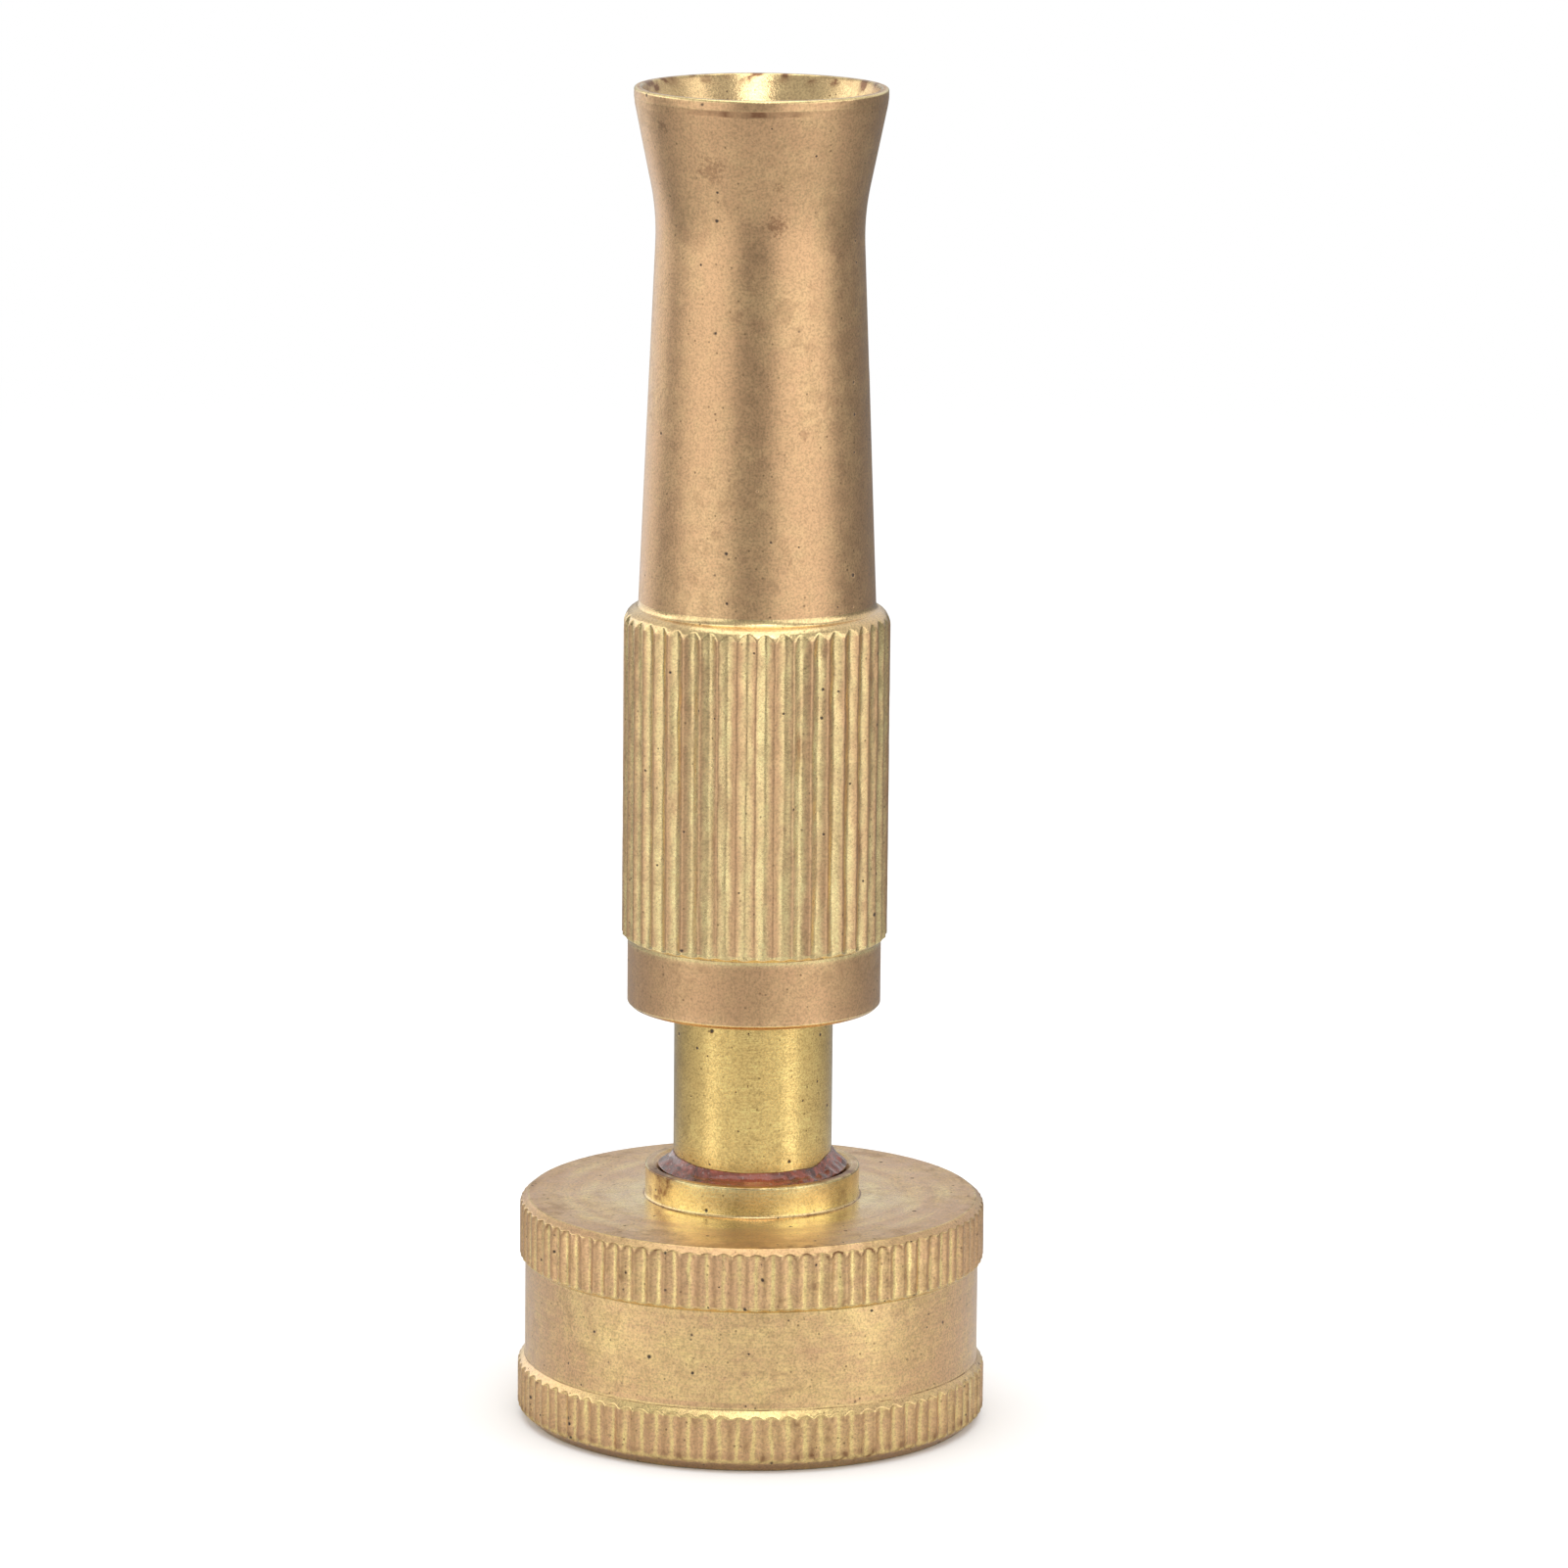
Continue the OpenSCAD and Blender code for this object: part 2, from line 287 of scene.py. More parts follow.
P = []
P += [(6.45, 29.6, 0.12, 0.3, MID), (8.62, 29.6, 0.12, 0.2, MID), (8.87, 29.85, 0.12, 0.25, MID)]
P += [(8.87, 34.42, 0.05, 0.06, FINE), (9.34, 34.74, 0.05, 0.06, FINE)]
P += [(9.38, 35.2, 0, 0.55, FINE), (9.38, 55.9, 0, 0.09, FINE), (9.34, 56.40, 0, 0.07, FINE)]
for k in range(1, 7):
    a = math.pi / 2 * k / 7.4
    P.append((8.44 + 0.88 * math.cos(a), 56.36 + 1.40 * math.sin(a), 0, 0.08, FINE))
P += [(8.55, 57.78, 0, 0.05, FINE)]
for k in range(0, 7):
    a = math.pi / 2 * k / 6
    P.append((8.525 - 0.26 * math.sin(a), 58.28 - 0.49 * math.cos(a), 0, 0.5, MID))
P += [(tube_r(58.9), 58.9, 0, 0.5, MID)]
P += [(r, z, 0, 0.6, MID) for r, z in waist]
P += [(8.690, 92.80, 0, 0.03, MID), (8.72, 93.06, 0.1, 0.03, MID), (8.755, 93.30, 0.05, 0.3, MID)]
P += [(8.775, 94.0, 0.17, 0.2, MID), (8.26, 94.0, 0.16, 0.3, MID)]
for t in np.linspace(0.985, 0.0, 22):
    t = t ** 1.3
    P.append((3.1 + 5.14 * t ** 0.62, 85.5 + 8.5 * t, 0, 0.4, MID))
P += [(3.1, 83.5, 0.15, 0.3, MID), (5.5, 81.1, 0.1, 1.0, MID), (5.5, 49.5, 0.1, 0.5, MID), (6.45, 48.8, 0.1, 0.5, MID)]
P += [(6.45, 44.95, 0, 0.2, MID), (6.40, 44.7, 0, 0.1, MID), (6.40, 38.3, 0, 0.3, MID), (6.45, 38.0, 0, 0.6, MID)]
P += [(6.45, 31.8, 0.05, 0.3, MID), (7.13, 31.8, 0.05, 0.4, MID), (7.13, 30.2, 0.05, 0.3, MID), (6.45, 30.2, 0.05, 0.3, MID)]

grip_knurl = Knurl(G, 9.318, 0.33, -90.0, 31, power=1.4, stripe=0.66)
rim_wave, slow_wave = Waves(41, 7, 40.0), Waves(43, 5, 30.0)


def barrel_shape(th, r, z, edge):
    wear_and_sheen, dirt_and_shade = np.zeros_like(th), np.zeros_like(th)
    if r[0] > 7.6 and z[0] < 92.9:
        r = r + 0.008 * slow_wave(th, z)
    if r[0] > 8.0 and 34.3 < z[0] < 58.0 and len(th) == FINE:
        kr, h, painted_groove_highlight = grip_knurl(th, z)
        base = r
        r = smin(base, kr, 0.03)
        cut = smoothstep(-0.03, 0.05, base - kr)
        # the groove stripes go in as painted highlights; the groove walls get painted shade, darker where the stripe
        # is faint
        wear_and_sheen = cut * painted_groove_highlight
        dirt_and_shade = 0.30 * smoothstep(0.0, 0.05, base - kr) * (1 - smoothstep(0.10, 0.24, base - kr)) * (1 - 0.6 * painted_groove_highlight)
    elif 38.3 < z[0] < 44.72 and 6.2 < r[0] < 6.6:
        d = np.abs(helix(th, z, 2.0, 38.3))
        ends = smoothstep(38.3, 38.9, z[0]) * (1 - smoothstep(44.1, 44.7, z[0]))
        r = 6.40 - 0.78 * ends * np.clip((0.36 - d) / 0.22, 0, 1)
    if r[0] > 8.5 and 92.7 < z[0] < 93.4:
        # painted shadow: a dark line under the rim lip toward the front, over a slight real groove
        az = (np.degrees(th) + 97 + 180) % 360 - 180
        tool = np.exp(-(az / 26.0) ** 4) + 0.25 * np.exp(-((az - 140) / 40.0) ** 4)
        line_z = np.exp(-((z - 93.04 - 0.0006 * az) / 0.21) ** 4)
        r = r - 0.02 * tool * line_z
        dirt_and_shade = dirt_and_shade + 1.5 * tool * line_z
    bell = z[0] > 84.5 and r[0] < 3.25 + 5.14 * max(0.0, (z[0] - 85.5) / 8.5) ** 0.62
    if 5.9 < r[0] < 8.6 and z[0] > 92.6:
        ragged = smoothstep(-0.1, 0.5, rim_dirt(th, z)) * smoothstep(93.1, 93.7, z)
        # ragged dark specks round the top inside edge; the inner left and right sides darker as a painted reflection
        dirt_and_shade = dirt_and_shade + 1.0 * ragged + 0.5 * smoothstep(93.0, 93.8, z) * np.abs(np.cos(th)) ** 2
    if r[0] > 8.05 and z[0] > 93.7:
        r = r + 0.012 * rim_wave(th, z) - 0.03 * smoothstep(0.75, 1.1, rim_dirt(th, z))
    if bell:
        # painted reflection: the bell's inner left and right sides darker
        dirt_and_shade = dirt_and_shade + 0.55 * smoothstep(86.0, 90.0, z) * np.cos(th) ** 2 * np.where(np.cos(th) < 0, 1.0, 0.5)
        polish_and_sheen = np.full_like(th, 0.68)
    elif 58.3 > z[0] > 56.9 and r[0] > 8:
        az = (np.degrees(th) + 90 + 180) % 360 - 180
        polish_and_sheen = np.full_like(th, 0.45)
        # painted highlight: the shoulder's top lighter, most at the front
        wear_and_sheen = np.maximum(wear_and_sheen, smoothstep(56.9, 57.3, z[0]) * (0.14 + 0.45 * np.exp(-(az / 32.0) ** 2)) * (0.85 + 0.3 * slow_wave(th * 2, z)))
    else:
        polish_and_sheen = np.zeros_like(th)
    if 33.9 < z[0] < 34.85 and r[0] > 8:
        # painted highlight: a bright line under the grip, standing for the floor's reflection in the chamfer
        line = smoothstep(34.1, 34.25, z[0])
        wear_and_sheen, polish_and_sheen = np.maximum(wear_and_sheen, line), polish_and_sheen + 0.5 * line
    if 30.3 < z[0] < 34.0 and r[0] > 8:
        # darker all round the collar, less so a little right of the front
        dirt_and_shade = dirt_and_shade + 0.30 - 0.16 * np.exp(-(((np.degrees(th) + 66 + 180) % 360 - 180) / 14.0) ** 2)
    return r, z, wear_and_sheen, dirt_and_shade, polish_and_sheen


rim_dirt = Waves(45, 40, 2.0, 16)
barrel = lathe("barrel_shell", rounded(P), barrel_shape)
to_body(barrel, "barrel_body", "barrel")

# ---- coupling
C = 88
CF, CM = C * 10, C * 2
P = []
P += [(13.75, 0.0, 0.12, 0.4, CM), (15.50, 0.0, 0.40, 0.12, CF), (16.47, 0.85, 0.45, 0.10, CF)]
P += [(16.50, 1.2, 0, 0.30, CF), (16.50, 3.35, 0, 0.08, CF), (16.44, 3.88, 0.08, 0.06, CF), (15.98, 4.42, 0.14, 0.08, CF)]
P += [(15.95, 4.95, 0, 0.6, CM), (15.95, 11.36, 0.05, 0.06, CF), (16.34, 11.70, 0.06, 0.06, CF)]
P += [(16.39, 12.0, 0, 0.3, CF), (16.39, 15.0, 0, 0.07, CF), (16.27, 15.45, 0.08, 0.06, CF), (15.74, 15.88, 0.16, 0.5, CM)]
P += [(7.62, 15.9, 0.14, 0.15, CM), (7.53, 16.05, 0, 0.4, CM), (7.53, 18.1, 0.14, 0.08, CM), (6.98, 18.1, 0.06, 0.1, CM)]
P += [(5.63, 17.2, 0, 0.3, CM), (5.60, 12.2, 0, 0.5, CM), (12.95, 12.2, 0.1, 0.4, CM)]
P += [(12.95, 9.15, 0, 0.2, CM), (13.62, 8.9, 0, 0.10, CM), (13.62, 1.0, 0, 0.2, CM)]
lower_knurl = Knurl(C, 16.46, 0.24, -90.75, 51, uneven=0.25, width=0.94, power=1.7, stripe=0.25)
upper_knurl = Knurl(C, 16.355, 0.25, -90.75, 61, uneven=0.2, width=0.92, power=1.7, stripe=0.25)
hose_wave, disc_wave = Waves(71, 9, 30.0), Waves(73, 14, 3.0, 16)


def coupling_shape(th, r, z, edge):
    wear_and_sheen, dirt_and_shade = np.zeros_like(th), np.zeros_like(th)
    outer = r[0] > 15.6
    if outer and 0.0 < z[0] < 15.8:
        r = r - 0.006 + 0.006 * hose_wave(th, z)
    for knurl, z0, z1 in ((lower_knurl, 0.25, 4.7), (upper_knurl, 11.3, 15.8)):
        if outer and len(th) == CF and z0 < z[0] < z1:
            kr, h, painted_groove_highlight = knurl(th, z)
            base = r
            r = smin(base, kr, 0.03)
            cut = smoothstep(-0.02, 0.04, base - kr)
            # the groove stripes go in as painted highlights; the groove walls get painted shade, heavier at the top
            # ends of the upper band's grooves
            wear_and_sheen = cut * painted_groove_highlight
            side = smoothstep(0.0, 0.04, base - kr) * (1 - smoothstep(0.08, 0.20, base - kr))
            ends = smoothstep(14.9, 15.2, z[0]) if z0 > 10 else 0.0
            dirt_and_shade = side * (0.55 + 0.3 * ends * knurl.gleam[np.floor(C * (th - knurl.first) / TAU).astype(int) % C])
            # darker along the bottom edge
            if z[0] < 1.3:
                dirt_and_shade = dirt_and_shade + 0.35
    if 13.0 < r[0] < 13.7 and 0.9 < z[0] < 9.0:
        d = np.abs(helix(th, z, 2.209, 0.9))
        ends = smoothstep(1.2, 2.6, z[0]) * (1 - smoothstep(8.0, 8.9, z[0]))
        r = 13.62 - 1.32 * ends * np.clip((0.44 - d) / 0.36, 0, 1)
    polish_and_sheen = np.zeros_like(th)
    if outer and 4.9 < z[0] < 11.3:
        # painted highlight: the smooth band lighter toward the front, plus random rubbed patches
        az = (np.degrees(th) + 100 + 180) % 360 - 180
        wear_and_sheen = wear_and_sheen + 0.26 * np.exp(-(az / 42.0) ** 2) + 0.16 * hose_wave(th, z)
    if outer and (3.88 < z[0] < 4.55 or 11.30 < z[0] < 11.62):
        # rubbed chamfer edges; the lower chamfer's extra brightness toward the front is a painted highlight
        az = (np.degrees(th) + 95 + 180) % 360 - 180
        share = 0.30 + 0.70 * np.exp(-(az / 34.0) ** 2) if z[0] < 6 else 1.0
        wear_and_sheen = wear_and_sheen + 0.5 * share
        polish_and_sheen = polish_and_sheen + 0.3 * share
    if outer and z[0] > 15.4 and r[0] > 15.7:
        # darker along the top outer edge
        dirt_and_shade = dirt_and_shade + 0.28
    if z[0] > 15.85 and r[0] < 15.9:
        polish_and_sheen = polish_and_sheen + (1 - smoothstep(7.4, 12.0, r[0] + 0.8 * hose_wave(th, r * 3))) * 0.72
        az = (np.degrees(th) + 90 + 180) % 360 - 180
        # the disc darker toward its outer edge, and darker in front of the boss as a painted reflection of the boss
        dirt_and_shade = dirt_and_shade + 0.36 * smoothstep(12.0, 15.5, r[0]) + 0.42 * np.exp(-(az / 24.0) ** 2) * smoothstep(8.5, 10.5, r[0])
        sweep = disc_wave(th, r)
        wear_and_sheen = wear_and_sheen + 0.30 * np.clip(sweep, 0, 2) * (1 - smoothstep(13.5, 15.5, r[0]))
        dirt_and_shade = dirt_and_shade + 0.20 * np.clip(-sweep, 0, 2)
    if 5.5 < r[0] < 7.6 and z[0] > 16.1:
        az = (np.degrees(th) + 90 + 180) % 360 - 180
        # the boss rim's near-white cream is a painted highlight over polished metal
        polish_and_sheen = polish_and_sheen * 0 + (1.0 if r[0] > 7.45 else 0.4)
        wear_and_sheen = wear_and_sheen * 0.5
        # darker on the top; the darker bands at the front and at the sides are painted shade between the boss's
        # highlights
        dirt_and_shade = dirt_and_shade + (0.0 if z[0] < 17.98 else 0.5) + 0.36 * np.exp(-((az - 1) / 16.0) ** 4) * (0.8 + 0.4 * disc_wave(th, z * 3)) + 0.50 * smoothstep(40, 54, np.abs(az)) * (1 - smoothstep(72, 92, np.abs(az)))
    return r, z, wear_and_sheen, dirt_and_shade, polish_and_sheen


coupling = lathe("coupling_body", rounded(P), coupling_shape)
to_body(coupling, "hose_side", "coupling")

# ---- stem
S = 144
P = []
P += [(3.5, 12.25, 0.08, 0.3, S), (5.27, 12.25, 0.05, 0.2, S), (5.565, 12.55, 0.05, 0.6, S)]
P += [(5.565, 37.45, 0.0, 0.1, S), (5.565, 37.6, 0, 0.09, S), (5.56, 47.4, 0, 0.1, S), (5.40, 47.7, 0.05, 0.4, S)]
for zc in (56.0, 59.5):
    P += [(5.40, zc - 1.0, 0.08, 0.3, S), (3.65, zc - 1.0, 0.1, 0.3, S), (3.65, zc + 1.0, 0.1, 0.3, S), (5.40, zc + 1.0, 0.08, 0.3, S)]
P += [(5.40, 61.1, 0.08, 0.2, S), (4.6, 61.9, 0.1, 0.8, S), (4.6, 77.0, 0.1, 0.3, S)]
P += [(2.8, 77.0, 0.05, 0.8, S), (2.8, 48.5, 0, 0.3, S), (3.5, 47.5, 0, 0.9, S)]


def stem_shape(th, r, z, edge):
    wear_and_sheen, dirt_and_shade = np.zeros_like(th), np.zeros_like(th)
    if 5.3 < r[0] < 5.7 and 37.55 < z[0] < 47.45:
        d = np.abs(helix(th, z, 2.0, 38.3 + 1.0))
        ends = smoothstep(37.7, 38.6, z[0]) * (1 - smoothstep(46.4, 47.3, z[0]))
        r = 5.57 + 0.76 * ends * np.clip((0.36 - d) / 0.22, 0, 1)
    # darker near the foot
    if 5.5 < r[0] < 5.6 and 17.5 < z[0] < 22.5:
        dirt_and_shade = dirt_and_shade + 0.55 * (1 - smoothstep(18.4, 19.6, z + 0.5 * Waves(83, 9, 9.0)(th, z)))
    if 5.5 < r[0] < 5.6 and 18 < z[0] < 31:
        # painted shade: the stem's left side darker
        az = (np.degrees(th) + 158 + 180) % 360 - 180
        dirt_and_shade = dirt_and_shade + 0.40 * np.exp(-(az / 26.0) ** 2) * (0.6 + 0.5 * Waves(85, 20, 3.0, 14)(th, z))
    return r, z, wear_and_sheen, np.clip(dirt_and_shade, 0, 1), np.full_like(th, 0.5)


stem = lathe("stem_tube", rounded(P), stem_shape)

# crossed water ports, cut through the nose
def drill(target, z, axis):
    bpy.ops.mesh.primitive_cylinder_add(vertices=48, radius=1.5 * MM, depth=20 * MM, location=(0, 0, z * MM),
                                        rotation=(math.pi / 2, 0, 0) if axis == "Y" else (0, math.pi / 2, 0))
    tool = bpy.context.object
    mod = target.modifiers.new("port", "BOOLEAN")
    mod.operation, mod.solver, mod.object = "DIFFERENCE", "EXACT", tool
    bpy.context.view_layer.objects.active = target
    bpy.ops.object.modifier_apply(modifier=mod.name)
    bpy.data.objects.remove(tool)


drill(stem, 65.5, "Y")
drill(stem, 69.5, "X")
to_body(stem, "hose_side", "stem")

# ---- metering tip
P = [(0.0, 72.6, 0, 0.6, S), (2.47, 72.6, 0, 0.3, S), (2.77, 72.9, 0, 0.5, S), (2.77, 77.02, 0, 0.4, S), (4.6, 77.02, 0.08, 0.4, S)]
P += [(4.6, 78.6, 0.08, 0.2, S), (4.4, 78.8, 0.04, 0.3, S), (3.08, 78.8, 0.08, 0.4, S), (3.08, 80.75, 0.08, 0.3, S), (3.85, 80.75, 0.08, 0.3, S)]
P += [(2.0, 82.5, 0.3, 0.4, S), (1.3, 85.6, 0.2, 0.2, S), (0.9, 86.0, 0.15, 0.3, S), (0.0, 86.0, 0, 1, S)]
tip = lathe("metering_tip", rounded(P, closed=False), closed=False)
to_body(tip, "hose_side", "stem_tip")

# ---- sealant bead in the boss's countersink, lumpy where it squeezed out
lump_a, lump_b, lump_c = Waves(91, 14, 3.0, 14), Waves(92, 5, 6.0, 8), Waves(93, 40, 1.2, 22)
prof = [(5.572, 17.26), (6.10, 17.56), (6.56, 17.88)]
for t in np.linspace(0, 1, 21):
    prof.append((6.62 - 1.04 * t, 17.96 + 0.07 * math.sin(math.pi * min(1, t * 1.8)) + 0.74 * t ** 2.2))
prof += [(5.572, 18.60)]
stations = [(r, z, 0.0, 288) for r, z in prof]


def sealant_shape(th, r, z, edge):
    az = np.degrees(th)
    side = np.exp(-((az + 12 + 180) % 360 - 180) ** 2 / (2 * 26.0 ** 2))
    left = np.exp(-((az - 187 + 180) % 360 - 180) ** 2 / (2 * 24.0 ** 2))
    back = 0.5 * np.exp(-((az - 80 + 180) % 360 - 180) ** 2 / (2 * 30.0 ** 2))
    t = np.clip((6.6 - r) / 1.0, 0, 1)
    if z[0] > 17.90:
        rough = 0.25 + 1.3 * side + 0.9 * left + back
        arch = np.sin(math.pi * np.clip(t * 0.85 + 0.15, 0, 1))
        dz = (0.10 * lump_a(th, z) + 0.10 * lump_b(th, z)) * rough * t + 0.06 * lump_c(th, z) * rough * arch
        dz = dz + (0.34 * side + 0.22 * left) * (t ** 1.3 + 0.6 * arch)
        r = np.where((t > 0) & (t < 0.5), r + (0.12 * side + 0.10 * left) * (1 + lump_a(th, z)) * (1 - t * 2) * 0.6, r)
        z = np.clip(z + dz, 17.84, 19.8)
    # painted highlight on the front of the bead, passed on as the rubbed-edge value
    front = np.exp(-((az + 90 + 180) % 360 - 180) ** 2 / (2 * 32.0 ** 2))
    return r, z, front * np.clip(0.6 + 0.5 * lump_a(th, z), 0, 1), t, np.zeros_like(th)


sealant = lathe("sealant_bead", stations, sealant_shape)
to_body(sealant, "hose_side", "neck_sealant")

# ---- hose washer with a moulded rib on its underside
P = [(7.9, 9.2, 0.2, 0.4, 120), (9.6, 9.2, 0.06, 0.2, 120), (9.9, 9.45, 0.06, 0.3, 120), (11.1, 9.45, 0.06, 0.3, 120), (11.4, 9.2, 0.06, 0.4, 120)]
P += [(12.75, 9.2, 0.2, 0.5, 120), (12.75, 12.19, 0.2, 0.8, 120), (7.9, 12.19, 0.2, 0.6, 120)]
washer = lathe("washer_rubber", rounded(P))
to_body(washer, "hose_side", "hose_washer")


# ---------------------------------------------------------------- materials
class Shader:
    """A short way to write a node tree: every call returns a socket."""
    def __init__(self, name):
        self.mat = bpy.data.materials.new(name)
        self.mat.use_nodes = True
        self.tree = self.mat.node_tree
        self.tree.nodes.clear()
        self.out = self.node("ShaderNodeOutputMaterial")
        coord = self.node("ShaderNodeTexCoord").outputs["Object"]
        self.mm = self.vec("SCALE", coord, scale=1000.0)
        parts = self.node("ShaderNodeSeparateXYZ")
        self.put(parts.inputs[0], self.mm)
        self.x, self.y, self.z = parts.outputs
        self.rho = self.math("SQRT", self.math("ADD", self.math("MULTIPLY", self.x, self.x), self.math("MULTIPLY", self.y, self.y)))
        safe = self.math("MAXIMUM", self.rho, 0.01)
        self.cx, self.cy = self.math("DIVIDE", self.x, safe), self.math("DIVIDE", self.y, safe)

    def node(self, kind):
        return self.tree.nodes.new(kind)

    def put(self, socket, value):
        if isinstance(value, bpy.types.NodeSocket):
            self.tree.links.new(value, socket)
        else:
            socket.default_value = value

    def math(self, op, a, b=None, c=None, clamp=False):
        n = self.node("ShaderNodeMath")
        n.operation, n.use_clamp = op, clamp
        for s, v in zip(n.inputs, (a, b, c)):
            if v is not None:
                self.put(s, v)
        return n.outputs[0]

    def vec(self, op, a, b=None, scale=None):
        n = self.node("ShaderNodeVectorMath")
        n.operation = op
        self.put(n.inputs[0], a)
        if b is not None:
            self.put(n.inputs[1], b)
        if scale is not None:
            self.put(n.inputs["Scale"], scale)
        return n.outputs[0]

    def join(self, x, y, z):
        n = self.node("ShaderNodeCombineXYZ")
        for s, v in zip(n.inputs, (x, y, z)):
            self.put(s, v)
        return n.outputs[0]

    def stretched(self, around, along, offset=0.0):
        """Coordinates whose cells are 1/around of the circumference wide and 1/along mm high."""
        h = self.math("ADD", self.z, self.rho)
        return self.join(self.math("MULTIPLY_ADD", self.cx, around, offset), self.math("MULTIPLY_ADD", self.cy, around, offset),
                         self.math("MULTIPLY", h, along))

    def noise(self, vector, scale=1.0, detail=2.0, rough=0.5, distort=0.0):
        n = self.node("ShaderNodeTexNoise")
        self.put(n.inputs["Vector"], vector)
        self.put(n.inputs["Scale"], scale)
        self.put(n.inputs["Detail"], detail)
        self.put(n.inputs["Roughness"], rough)
        self.put(n.inputs["Distortion"], distort)
        return n.outputs["Fac"]

    def cells(self, vector, scale):
        n = self.node("ShaderNodeTexVoronoi")
        self.put(n.inputs["Vector"], vector)
        self.put(n.inputs["Scale"], scale)
        return n.outputs["Distance"], n.outputs["Color"]

    def ease(self, x, lo, hi, a=0.0, b=1.0):
        n = self.node("ShaderNodeMapRange")
        n.interpolation_type = "SMOOTHSTEP"
        for s, v in zip(n.inputs, (x, lo, hi, a, b)):
            self.put(s, v)
        return n.outputs[0]

    def attr(self, name):
        n = self.node("ShaderNodeAttribute")
        n.attribute_name = name
        return n.outputs["Fac"]

    def mix(self, fac, a, b):
        n = self.node("ShaderNodeMix")
        n.data_type = "RGBA"
        for s, v in zip((n.inputs[0], n.inputs[6], n.inputs[7]), (fac, a, b)):
            self.put(s, v)
        return n.outputs[2]

    def scale_colour(self, colour, factor):
        n = self.node("ShaderNodeMix")
        n.data_type, n.blend_type = "RGBA", "MULTIPLY"
        grey = self.join(factor, factor, factor)
        self.put(n.inputs[0], 1.0)
        self.put(n.inputs[6], colour)
        self.put(n.inputs[7], grey)
        return n.outputs[2]

    def bump(self, height, strength=1.0, normal=None):
        n = self.node("ShaderNodeBump")
        self.put(n.inputs["Strength"], strength)
        self.put(n.inputs["Distance"], 0.001)
        self.put(n.inputs["Height"], height)
        if normal is not None:
            self.put(n.inputs["Normal"], normal)
        return n.outputs[0]

    def surface(self, **values):
        n = self.node("ShaderNodeBsdfPrincipled")
        for key, v in values.items():
            self.put(n.inputs[key.replace("_", " ").title().replace("Ior", "IOR")], v)
        self.put(self.out.inputs["Surface"], n.outputs[0])
        return self.mat


def srgb(r, g, b):
    def f(c):
        c /= 255
        return c / 12.92 if c <= 0.04045 else ((c + 0.055) / 1.055) ** 2.4
    return (f(r), f(g), f(b), 1.0)


